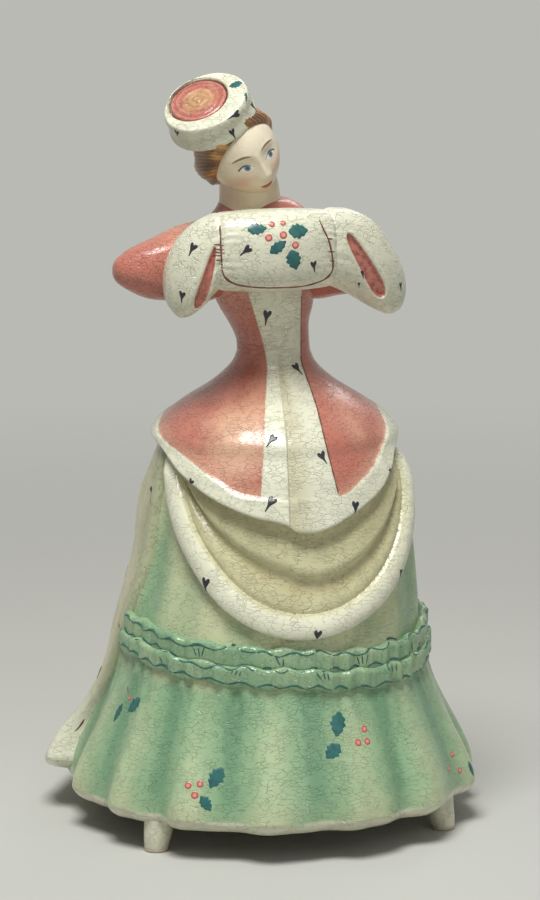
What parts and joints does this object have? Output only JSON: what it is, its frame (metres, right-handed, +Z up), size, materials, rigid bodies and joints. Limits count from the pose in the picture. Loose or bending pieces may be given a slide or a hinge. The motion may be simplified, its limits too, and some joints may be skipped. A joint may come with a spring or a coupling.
{
  "type": "ceramic figurine",
  "caption": "Glazed ceramic figurine of a lady in a flared winter dress with a draped apron, pillbox hat and muff, hollow under the skirt, on peg feet",
  "frame": {"origin": "on the table, under the middle of the bounding box", "axes": "+Z up, the figure's front towards -Y, her left hand towards +X"},
  "size_m": [0.135, 0.1416, 0.2326],
  "materials": {
    "mint_glaze": "gloss",
    "cream_glaze": "gloss",
    "rose_glaze": "gloss",
    "white_glaze": "gloss",
    "flesh_glaze": "gloss",
    "hair_glaze": "gloss"
  },
  "bodies": {
    "root": {"skirt_shell": "mint_glaze", "ruche_lower": "mint_glaze", "ruche_upper": "cream_glaze", "apron_swag": "cream_glaze", "train_drape": "cream_glaze", "jacket_peplum": "rose_glaze", "jacket_bodice": "rose_glaze", "sleeve_left": "rose_glaze", "sleeve_right": "rose_glaze", "muff_body": "white_glaze", "muff_end_left": "white_glaze", "muff_end_right": "white_glaze", "head_and_neck": "flesh_glaze", "hair": "hair_glaze", "hat_band": "white_glaze", "hat_crown": "rose_glaze", "foot_left": "white_glaze", "foot_right": "white_glaze", "foot_back": "white_glaze"}
  },
  "joints": []
}
